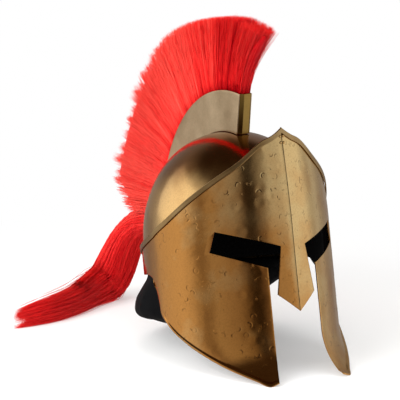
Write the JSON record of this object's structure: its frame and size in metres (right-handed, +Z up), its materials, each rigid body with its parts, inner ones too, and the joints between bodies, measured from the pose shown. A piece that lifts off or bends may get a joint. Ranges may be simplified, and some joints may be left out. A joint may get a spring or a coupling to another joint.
{
  "type": "crested helmet",
  "caption": "Closed Greek-style brass helmet with long nasal, eye slots, flared cheeks, crest box with upright red hair, trailing hair tail and padded nape.",
  "frame": {"origin": "on the table, under the middle of the whole object's bounding box", "axes": "+Z up from the table, -Y forward as the helmet faces, +X to the wearer's left"},
  "size_m": [0.313, 0.4644, 0.39],
  "materials": {
    "hammered_brass": "hammered and polished",
    "band_brass": "dull polish",
    "smooth_brass": "smooth polish",
    "crest_brass": "brushed, pale",
    "olive_brass": "brushed, dark",
    "red_hair": "dyed hair in locks",
    "padding_cloth": "dull black",
    "lining_felt": "black felt"
  },
  "bodies": {
    "root": {"face_plate": "hammered_brass", "brow_band": "band_brass", "skull_bowl": "smooth_brass", "skull_liner": "lining_felt", "crest_side_left": "crest_brass", "crest_side_right": "crest_brass", "crest_front": "olive_brass", "crest_plume": "red_hair", "crest_tail": "red_hair", "neck_pad": "padding_cloth", "peak_rivet_upper_left": "band_brass", "peak_rivet_upper_right": "band_brass", "peak_rivet_lower_left": "band_brass", "peak_rivet_lower_right": "band_brass", "crest_rivet": "band_brass"}
  },
  "joints": []
}
